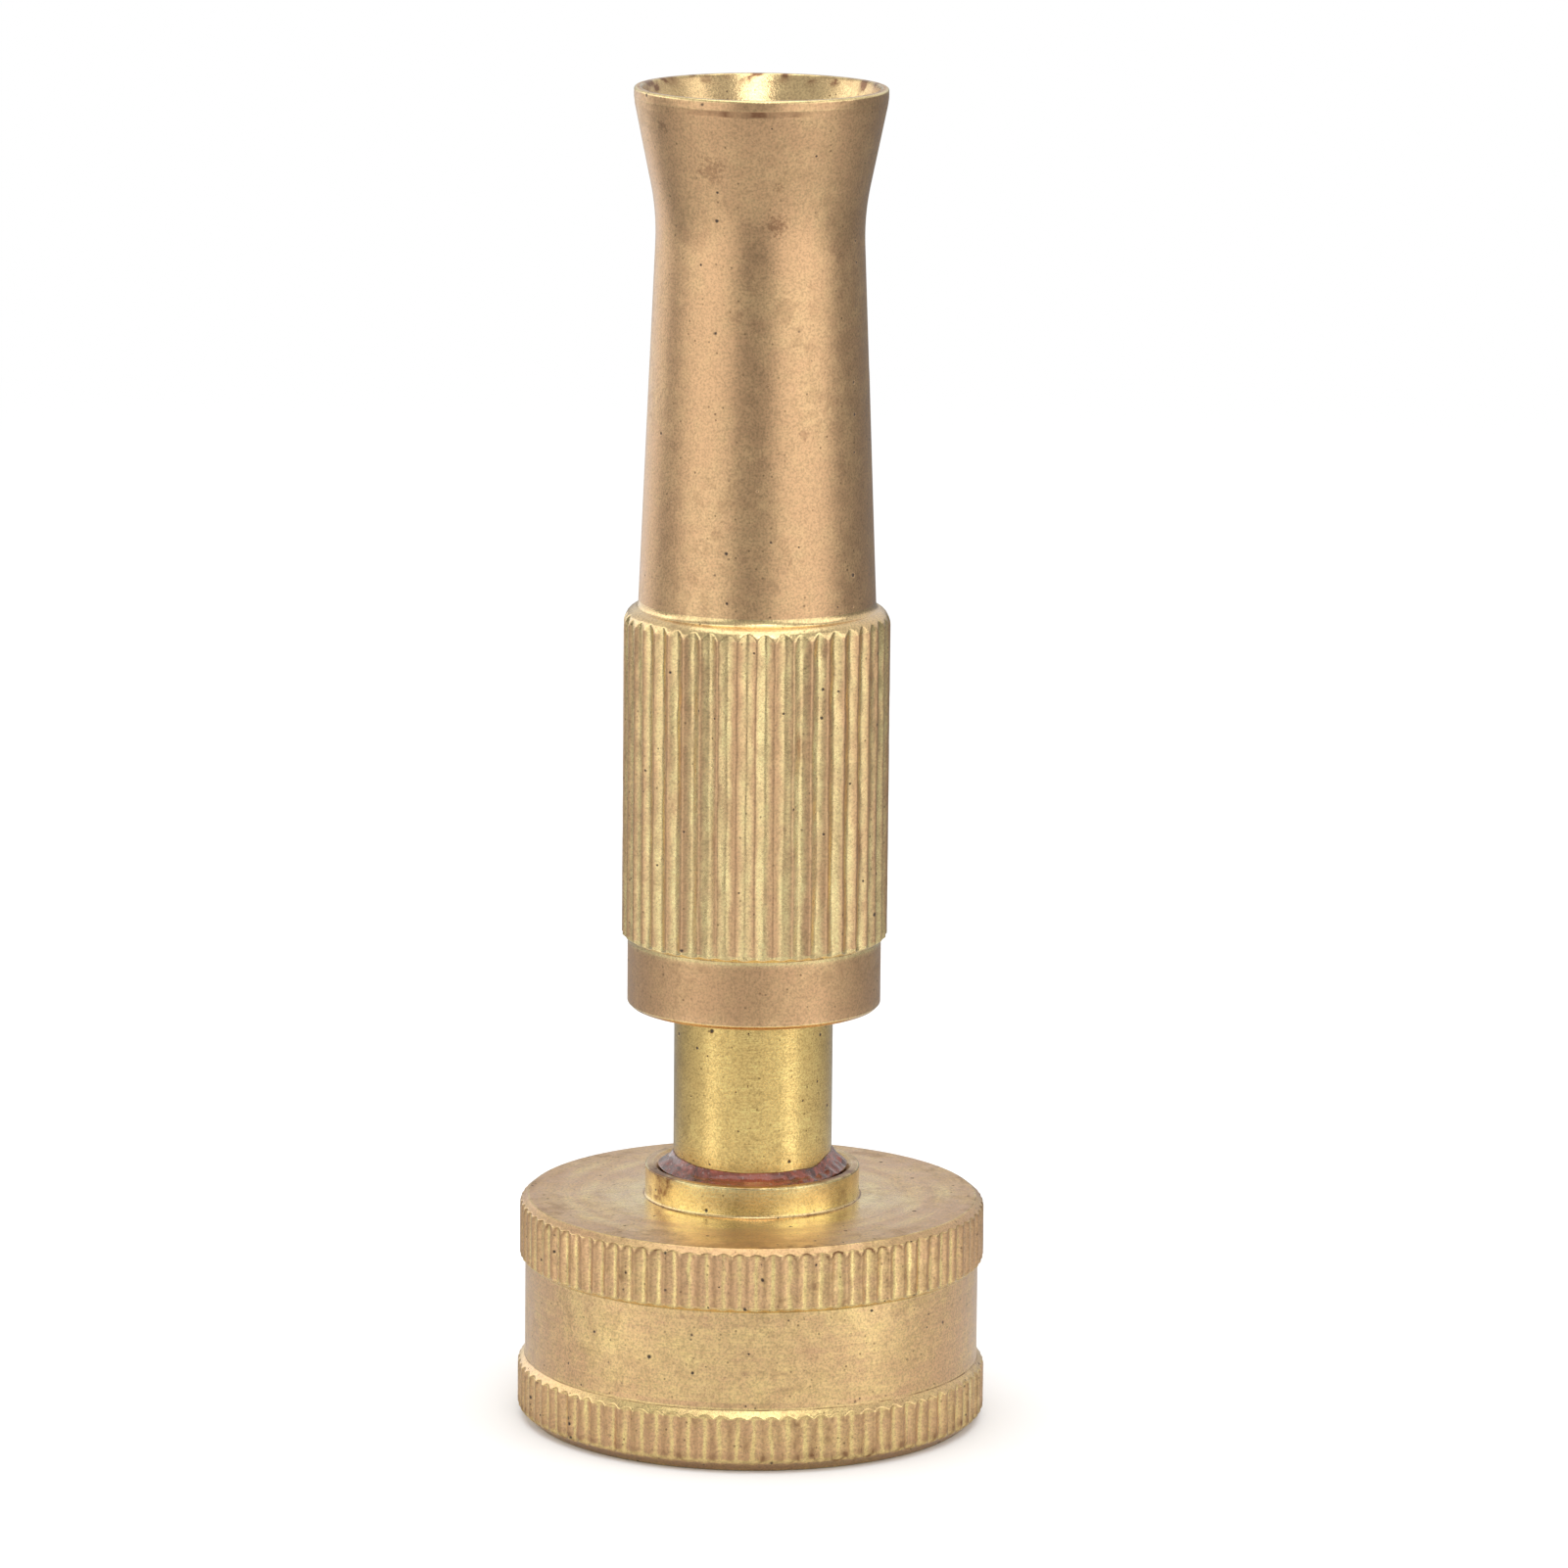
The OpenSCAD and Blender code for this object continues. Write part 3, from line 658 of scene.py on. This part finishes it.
def brass(name, skin, bright, stain_and_shade, rough, lathe_marks=0.5, bare=0.3, mottle=0.5, grain=1.0, pits=1.0, brush=0.0, film=0.48, spots=()):
    s = Shader(name)
    wear_and_sheen, dirt_and_shade, polish_and_sheen = s.attr("wear_and_sheen"), s.attr("dirt_and_shade"), s.attr("polish_and_sheen")
    big = s.noise(s.mm, 0.16, 3, 0.55)
    mid = s.noise(s.mm, 0.75, 4, 0.6)
    fine = s.noise(s.mm, 6.0, 3, 0.65)
    streak = s.noise(s.stretched(1.6, 5.0), 1.0, 3, 0.7)
    hair = s.noise(s.stretched(2.4, 16.0, 7.3), 1.0, 2, 0.6)
    # bare metal shows on rubbed edges and in cloudy patches, the rest keeps its skin; rubbed edges here also carry
    # painted highlights (knurl groove stripes, the shoulder's front, the collar line, the coupling's front)
    cloud = s.math("ADD", s.math("MULTIPLY", s.math("SUBTRACT", big, 0.5), 1.6 * mottle),
                   s.math("MULTIPLY", s.math("SUBTRACT", mid, 0.5), 1.5 * mottle))
    rings = s.math("MULTIPLY", s.math("SUBTRACT", streak, 0.5), 0.9 * lathe_marks + 0.5 * brush)
    ragged = s.math("MULTIPLY", s.math("SUBTRACT", s.noise(s.mm, 2.2, 3, 0.6), 0.5), 0.55)
    worn_and_sheen = s.math("ADD", wear_and_sheen, s.math("MULTIPLY", ragged, s.ease(wear_and_sheen, 0.0, 0.25)), clamp=True)
    share = s.math("ADD", s.math("ADD", bare, cloud), s.math("ADD", rings, s.math("MULTIPLY", worn_and_sheen, 1.05)))
    share = s.math("MULTIPLY_ADD", polish_and_sheen, 0.75, share, clamp=True)
    colour = s.mix(share, skin, bright)
    # near-white cream on the most polished faces, the boss rim: bare polished metal with a painted highlight
    colour = s.mix(s.ease(polish_and_sheen, 0.72, 1.0, 0.0, 0.9), colour, srgb(255, 238, 172))
    # speckle and stains; the same dark brown also paints shade on knurl groove walls, under the rim lip, inside the
    # mouth, on the stem's left side, on the disc in front of the boss and round the boss
    speck = s.ease(fine, 0.30, 0.62, 0.86, 1.06)
    colour = s.scale_colour(colour, s.math("MULTIPLY_ADD", s.math("SUBTRACT", speck, 1.0), grain, 1.0))
    tone = s.math("MULTIPLY_ADD", s.math("SUBTRACT", hair, 0.5), 0.22 * (lathe_marks + brush), 1.0)
    colour = s.scale_colour(colour, tone)
    grime_and_shade = s.math("MULTIPLY", s.ease(s.noise(s.mm, 0.9, 5, 0.7, 0.6), 0.44, 0.62), 0.35)
    grime_and_shade = s.math("ADD", s.math("MULTIPLY", grime_and_shade, s.ease(big, 0.40, 0.62)), s.math("MULTIPLY", dirt_and_shade, s.ease(mid, 0.30, 0.62, 0.35, 1.0)), clamp=True)
    heavy = s.math("MULTIPLY_ADD", s.math("POWER", grime_and_shade, 5.0), 0.33, s.math("MULTIPLY", grime_and_shade, 0.62), clamp=True)
    colour = s.mix(heavy, colour, stain_and_shade)
    # sparse black pits
    dist, tint = s.cells(s.mm, 1.05)
    tint_parts = s.node("ShaderNodeSeparateColor")
    s.put(tint_parts.inputs[0], tint)
    chosen = s.math("GREATER_THAN", tint_parts.outputs[0], 1.0 - 0.32 * min(pits, 2.0))
    size = s.math("MULTIPLY_ADD", s.math("POWER", tint_parts.outputs[1], 2.0), 0.105, 0.062)
    wobble = s.math("MULTIPLY", s.math("SUBTRACT", fine, 0.5), 0.05)
    hole = s.math("MULTIPLY", chosen, s.ease(s.math("ADD", dist, wobble), s.math("MULTIPLY", size, 0.6), s.math("MULTIPLY", size, 1.3), 1.0, 0.0))
    colour = s.mix(s.math("MULTIPLY", hole, 0.95), colour, srgb(40, 26, 16))
    tiny_dist, tiny_tint = s.cells(s.mm, 2.1)
    tiny_parts = s.node("ShaderNodeSeparateColor")
    s.put(tiny_parts.inputs[0], tiny_tint)
    tiny = s.math("MULTIPLY", s.math("GREATER_THAN", tiny_parts.outputs[0], 1.0 - 0.30 * pits), s.ease(tiny_dist, 0.08, 0.24, 1.0, 0.0))
    tiny = s.math("MULTIPLY", tiny, s.ease(mid, 0.38, 0.60))
    colour = s.mix(s.math("MULTIPLY", tiny, 0.75), colour, srgb(96, 68, 40))
    for x, y, z, size, amount in spots:
        away = s.vec("SUBTRACT", s.mm, (x, y, z))
        n = s.node("ShaderNodeVectorMath")
        n.operation = "LENGTH"
        s.put(n.inputs[0], away)
        blot = s.math("MULTIPLY_ADD", s.math("SUBTRACT", s.noise(s.mm, 3.2, 4, 0.75), 0.5), 5.0 * size, n.outputs["Value"])
        colour = s.mix(s.math("MULTIPLY", s.ease(blot, 0.2 * size, 1.15 * size, 1.0, 0.0), amount), colour, stain_and_shade)
    gloss = s.math("ADD", rough, s.math("MULTIPLY", s.math("SUBTRACT", mid, 0.5), 0.22))
    gloss = s.math("ADD", gloss, s.math("ADD", s.math("MULTIPLY", worn_and_sheen, -0.07), s.math("MULTIPLY", grime_and_shade, 0.16)))
    gloss = s.math("ADD", gloss, s.math("MULTIPLY", hole, 0.3))
    gloss = s.math("MULTIPLY_ADD", polish_and_sheen, -0.19, gloss, clamp=True)
    relief = s.math("ADD", s.math("MULTIPLY", streak, 0.006 * lathe_marks + 0.003 * brush), s.math("MULTIPLY", hair, 0.0022 * (lathe_marks + brush)))
    relief = s.math("ADD", relief, s.math("MULTIPLY", fine, 0.007 * grain))
    relief = s.math("ADD", relief, s.math("MULTIPLY", mid, 0.010))
    relief = s.math("SUBTRACT", relief, s.math("MULTIPLY", hole, 0.05))
    film_weight = s.math("MULTIPLY_ADD", s.ease(polish_and_sheen, 0.72, 1.0), -0.6 * film, film, clamp=True)
    return s.surface(base_color=colour, metallic=s.math("MULTIPLY_ADD", hole, -0.6, 1.0), roughness=gloss, normal=s.bump(relief),
                     coat_weight=film_weight, coat_roughness=s.math("ADD", gloss, 0.04))


def on_barrel(azimuth, z, r, size, amount):
    a = math.radians(azimuth)
    return (r * math.sin(a), -r * math.cos(a), z, size, amount)


barrel_spots = [on_barrel(8.6, 85.4, 7.3, 0.75, 0.65), on_barrel(-25, 89.1, 8.0, 1.0, 0.45), on_barrel(9, 88.0, 7.7, 0.35, 0.6),
                on_barrel(-52, 91.8, 8.5, 0.5, 0.5), on_barrel(24, 71.0, 7.7, 0.4, 0.4), on_barrel(-12, 79.0, 7.3, 0.5, 0.3),
                on_barrel(120, 76.0, 7.6, 0.9, 0.5), on_barrel(200, 66.0, 7.9, 1.1, 0.4), on_barrel(250, 84.0, 7.3, 0.7, 0.5)]
barrel_mat = brass("barrel_brass", srgb(221, 178, 132), srgb(255, 228, 164), srgb(134, 90, 60), 0.32, lathe_marks=0.25, bare=0.07, mottle=0.38, grain=1.7, pits=0.8,
                   spots=barrel_spots)
coupling_mat = brass("coupling_brass", srgb(222, 180, 133), srgb(251, 222, 151), srgb(130, 88, 56), 0.32, lathe_marks=0.35, bare=0.14, mottle=0.75, grain=1.8, pits=1.2, brush=1.1)
stem_mat = brass("stem_brass", srgb(232, 194, 120), srgb(254, 220, 140), srgb(104, 76, 42), 0.24, lathe_marks=1.2, bare=0.34, mottle=0.8, grain=2.0, pits=1.9, film=0.3)

s = Shader("sealant_resin")
lumps = s.noise(s.mm, 1.6, 5, 0.65, 0.8)
crust = s.ease(s.noise(s.mm, 3.4, 4, 0.6), 0.60, 0.72)
t = s.attr("dirt_and_shade")
body_colour = s.mix(s.ease(lumps, 0.36, 0.70), srgb(58, 26, 18), srgb(140, 66, 46))
# painted highlight: lighter red on the front of the bead
body_colour = s.mix(s.math("MULTIPLY", s.attr("wear_and_sheen"), 0.7), body_colour, srgb(150, 66, 40))
body_colour = s.mix(s.math("MULTIPLY", crust, 0.5), body_colour, srgb(168, 148, 142))
sealant_mat = s.surface(base_color=body_colour, roughness=s.ease(lumps, 0.3, 0.7, 0.08, 0.24), metallic=0.0, coat_weight=1.0, coat_roughness=0.05,
                        normal=s.bump(s.math("MULTIPLY", s.noise(s.mm, 4.0, 4, 0.6), 0.10)))

s = Shader("seal_rubber")
grit = s.noise(s.mm, 9.0, 3, 0.6)
bloom = s.noise(s.mm, 0.8, 3, 0.6)
rubber_mat = s.surface(base_color=s.mix(s.ease(bloom, 0.35, 0.7), (0.011, 0.011, 0.012, 1), (0.030, 0.030, 0.031, 1)),
                       roughness=s.ease(grit, 0.3, 0.7, 0.52, 0.74), metallic=0.0, normal=s.bump(s.math("MULTIPLY", grit, 0.02)))


def dress(ob, mat):
    ob.data.materials.clear()
    ob.data.materials.append(mat)


for ob, mat in ((barrel, barrel_mat), (coupling, coupling_mat), (stem, stem_mat), (tip, stem_mat), (sealant, sealant_mat), (washer, rubber_mat)):
    dress(ob, mat)
for node in ("stem_o_ring_lower", "stem_o_ring_upper", "tip_o_ring", "barrel_friction_ring"):
    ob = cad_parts[node]
    for i in range(max(1, len(ob.material_slots))):
        if len(ob.material_slots) == 0:
            ob.data.materials.append(rubber_mat)
        else:
            ob.material_slots[i].material = rubber_mat


# ---------------------------------------------------------------- stage and lights
def disc(name, r0, r1, z, glossy):
    n = 96
    ring = [(math.cos(TAU * i / n), math.sin(TAU * i / n)) for i in range(n)]
    if r0 == 0:
        verts = [(0, 0, z)] + [(r1 * c, r1 * q, z) for c, q in ring]
        faces = [(0, 1 + i, 1 + (i + 1) % n) for i in range(n)]
    else:
        verts = [(r0 * c, r0 * q, z) for c, q in ring] + [(r1 * c, r1 * q, z) for c, q in ring]
        faces = [(i, n + i, n + (i + 1) % n, (i + 1) % n) for i in range(n)]
    mesh = bpy.data.meshes.new(name)
    mesh.from_pydata(verts, [], faces)
    ob = bpy.data.objects.new(name, mesh)
    bpy.context.scene.collection.objects.link(ob)
    ob.visible_glossy = glossy
    return ob


floor_mat = bpy.data.materials.new("pale_floor")
floor_mat.use_nodes = True
ft = floor_mat.node_tree
ft.nodes.clear()
fo = ft.nodes.new("ShaderNodeOutputMaterial")
fd = ft.nodes.new("ShaderNodeBsdfDiffuse")
fd.inputs["Color"].default_value = (0.86, 0.86, 0.86, 1)
# what glossy rays see of the floor is painted light: brighter in front and near the object, darker behind and farther
# out, with painted light streaks toward the two side softboxes
fg = ft.nodes.new("ShaderNodeBsdfDiffuse")
tc = ft.nodes.new("ShaderNodeTexCoord")
sep = ft.nodes.new("ShaderNodeSeparateXYZ")
ft.links.new(tc.outputs["Object"], sep.inputs[0])
fall = ft.nodes.new("ShaderNodeMapRange")
fall.interpolation_type = "SMOOTHSTEP"
for i, v in zip(range(1, 5), (-0.04, 0.10, 0.50, 0.28)):
    fall.inputs[i].default_value = v
ft.links.new(sep.outputs["Y"], fall.inputs[0])
span = ft.nodes.new("ShaderNodeVectorMath")
span.operation = "LENGTH"
ft.links.new(tc.outputs["Object"], span.inputs[0])
reach = ft.nodes.new("ShaderNodeMapRange")
reach.interpolation_type = "SMOOTHSTEP"
for i, v in zip(range(1, 5), (0.05, 0.12, 1.15, 0.84)):
    reach.inputs[i].default_value = v
ft.links.new(span.outputs["Value"], reach.inputs[0])
times = ft.nodes.new("ShaderNodeMath")
times.operation = "MULTIPLY"
ft.links.new(fall.outputs[0], times.inputs[0])
ft.links.new(reach.outputs[0], times.inputs[1])
turn = ft.nodes.new("ShaderNodeMath")
turn.operation = "ARCTAN2"
back = ft.nodes.new("ShaderNodeMath")
back.operation = "MULTIPLY"
back.inputs[1].default_value = -1.0
ft.links.new(sep.outputs["Y"], back.inputs[0])
ft.links.new(sep.outputs["X"], turn.inputs[0])
ft.links.new(back.outputs[0], turn.inputs[1])
light_sum = None
for azimuth, half, gain in ((55, 15, 0.50), (-60, 15, 0.36)):
    off = ft.nodes.new("ShaderNodeMath")
    off.operation = "SUBTRACT"
    off.inputs[1].default_value = math.radians(azimuth)
    ft.links.new(turn.outputs[0], off.inputs[0])
    far = ft.nodes.new("ShaderNodeMath")
    far.operation = "ABSOLUTE"
    ft.links.new(off.outputs[0], far.inputs[0])
    streak = ft.nodes.new("ShaderNodeMapRange")
    streak.interpolation_type = "SMOOTHSTEP"
    for i, v in zip(range(1, 5), (math.radians(half * 0.35), math.radians(half), gain, 0.0)):
        streak.inputs[i].default_value = v
    ft.links.new(far.outputs[0], streak.inputs[0])
    if light_sum is None:
        light_sum = streak.outputs[0]
    else:
        plus = ft.nodes.new("ShaderNodeMath")
        ft.links.new(light_sum, plus.inputs[0])
        ft.links.new(streak.outputs[0], plus.inputs[1])
        light_sum = plus.outputs[0]
fade = ft.nodes.new("ShaderNodeMapRange")
fade.interpolation_type = "SMOOTHSTEP"
for i, v in zip(range(1, 5), (0.035, 0.065, 0.0, 1.0)):
    fade.inputs[i].default_value = v
ft.links.new(span.outputs["Value"], fade.inputs[0])
close = ft.nodes.new("ShaderNodeMapRange")
close.interpolation_type = "SMOOTHSTEP"
for i, v in zip(range(1, 5), (0.095, 0.125, 1.0, 0.12)):
    close.inputs[i].default_value = v
ft.links.new(span.outputs["Value"], close.inputs[0])
window = ft.nodes.new("ShaderNodeMath")
window.operation = "MULTIPLY"
ft.links.new(fade.outputs[0], window.inputs[0])
ft.links.new(close.outputs[0], window.inputs[1])
streaks = ft.nodes.new("ShaderNodeMath")
streaks.operation = "MULTIPLY"
ft.links.new(light_sum, streaks.inputs[0])
ft.links.new(window.outputs[0], streaks.inputs[1])
whole = ft.nodes.new("ShaderNodeMath")
ft.links.new(times.outputs[0], whole.inputs[0])
ft.links.new(streaks.outputs[0], whole.inputs[1])
ft.links.new(whole.outputs[0], fg.inputs["Color"])
ray = ft.nodes.new("ShaderNodeLightPath")
both = ft.nodes.new("ShaderNodeMixShader")
ft.links.new(ray.outputs["Is Glossy Ray"], both.inputs[0])
ft.links.new(fd.outputs[0], both.inputs[1])
ft.links.new(fg.outputs[0], both.inputs[2])
haze = ft.nodes.new("ShaderNodeMapRange")
haze.interpolation_type = "SMOOTHSTEP"
for i, v in zip(range(1, 5), (0.12, 0.50, 0.0, 1.0)):
    haze.inputs[i].default_value = v
ft.links.new(span.outputs["Value"], haze.inputs[0])
seen = ft.nodes.new("ShaderNodeMath")
seen.operation = "MULTIPLY"
ft.links.new(haze.outputs[0], seen.inputs[0])
ft.links.new(ray.outputs["Is Camera Ray"], seen.inputs[1])
plain = ft.nodes.new("ShaderNodeEmission")
plain.inputs["Strength"].default_value = 1.0
plain.inputs["Color"].default_value = (1, 1, 1, 1)
cover = ft.nodes.new("ShaderNodeMixShader")
ft.links.new(seen.outputs[0], cover.inputs[0])
ft.links.new(both.outputs[0], cover.inputs[1])
ft.links.new(plain.outputs[0], cover.inputs[2])
ft.links.new(cover.outputs[0], fo.inputs["Surface"])
floor_mat.cycles.emission_sampling = "NONE"
NEAR = 0.27
for ob in (disc("floor_near", 0, NEAR, 0, True), disc("floor_far", NEAR, 6.0, 0, False)):
    ob.data.materials.append(floor_mat)


def softbox(name, azimuth, distance, width, z0, z1, power, tilt=0.0):
    """A soft light facing the axis. Azimuth is from the camera's side (-Y) towards +X."""
    a = math.radians(azimuth)
    data = bpy.data.lights.new(name, "AREA")
    data.shape, data.size, data.size_y = "RECTANGLE", width, z1 - z0
    data.energy = power
    ob = bpy.data.objects.new(name, data)
    bpy.context.scene.collection.objects.link(ob)
    pos = Vector((distance * math.sin(a), -distance * math.cos(a), (z0 + z1) / 2))
    aim = Vector((0, 0, (z0 + z1) / 2 + tilt)) - pos
    ob.location = pos
    ob.rotation_euler = aim.to_track_quat("-Z", "Z").to_euler()
    ob.visible_camera = False
    return ob






def watts(level, width, height):
    """Power of a flat light whose face has this radiance."""
    return level * width * height * math.pi


softbox("soft_right", 54, 0.42, 0.32, -0.25, 0.45, watts(0.95, 0.32, 0.70))
softbox("soft_left", -64, 0.42, 0.25, -0.25, 0.45, watts(0.90, 0.25, 0.70))
softbox("soft_back_left", -128, 0.45, 0.26, -0.25, 0.45, watts(0.72, 0.26, 0.70))


def overhead(name, azimuth, elevation, distance, size, level):
    a, e = math.radians(azimuth), math.radians(elevation)
    data = bpy.data.lights.new(name, "AREA")
    data.shape, data.size = "DISK", size
    data.energy = level * math.pi * size * size / 4 * math.pi
    ob = bpy.data.objects.new(name, data)
    bpy.context.scene.collection.objects.link(ob)
    ob.location = (distance * math.cos(e) * math.sin(a), -distance * math.cos(e) * math.cos(a), distance * math.sin(e))
    ob.rotation_euler = (-ob.location).to_track_quat("-Z", "Y").to_euler()
    ob.visible_camera = False


overhead("soft_top", 0, 88, 1.15, 1.3, 1.1)
overhead("soft_front_top", 8, 45, 1.10, 0.50, 2.4)

world = bpy.data.worlds.new("studio")
bpy.context.scene.world = world
world.use_nodes = True
wt = world.node_tree
wt.nodes.clear()
wo = wt.nodes.new("ShaderNodeOutputWorld")
paths = wt.nodes.new("ShaderNodeLightPath")
glow = wt.nodes.new("ShaderNodeBackground")
wtc = wt.nodes.new("ShaderNodeTexCoord")
wsep = wt.nodes.new("ShaderNodeSeparateXYZ")
wt.links.new(wtc.outputs["Generated"], wsep.inputs[0])


def wmap(socket, lo, hi, a, b):
    n = wt.nodes.new("ShaderNodeMapRange")
    n.interpolation_type = "SMOOTHSTEP"
    for i, v in zip(range(1, 5), (lo, hi, a, b)):
        n.inputs[i].default_value = v
    wt.links.new(socket, n.inputs[0])
    return n.outputs[0]


def wmath(op, a, b):
    n = wt.nodes.new("ShaderNodeMath")
    n.operation = op
    for i, v in enumerate((a, b)):
        if isinstance(v, bpy.types.NodeSocket):
            wt.links.new(v, n.inputs[i])
        else:
            n.inputs[i].default_value = v
    return n.outputs[0]


rise = wmap(wsep.outputs["Z"], -0.06, 0.22, 0.0, 1.0)
behind = wmap(wsep.outputs["Y"], -0.3, 0.6, 0.25, 0.50)
level = wmath("ADD", wmath("MULTIPLY", rise, behind), 0.23)
wt.links.new(level, glow.inputs["Color"])
glow.inputs["Strength"].default_value = 1.0
pale = wt.nodes.new("ShaderNodeBackground")
pale.inputs["Color"].default_value = (1, 1, 1, 1)
pale.inputs["Strength"].default_value = 1.0
pick = wt.nodes.new("ShaderNodeMixShader")
wt.links.new(paths.outputs["Is Glossy Ray"], pick.inputs[0])
wt.links.new(pale.outputs[0], pick.inputs[1])
wt.links.new(glow.outputs[0], pick.inputs[2])
wt.links.new(pick.outputs[0], wo.inputs["Surface"])
bpy.context.scene.view_settings.view_transform = "Standard"
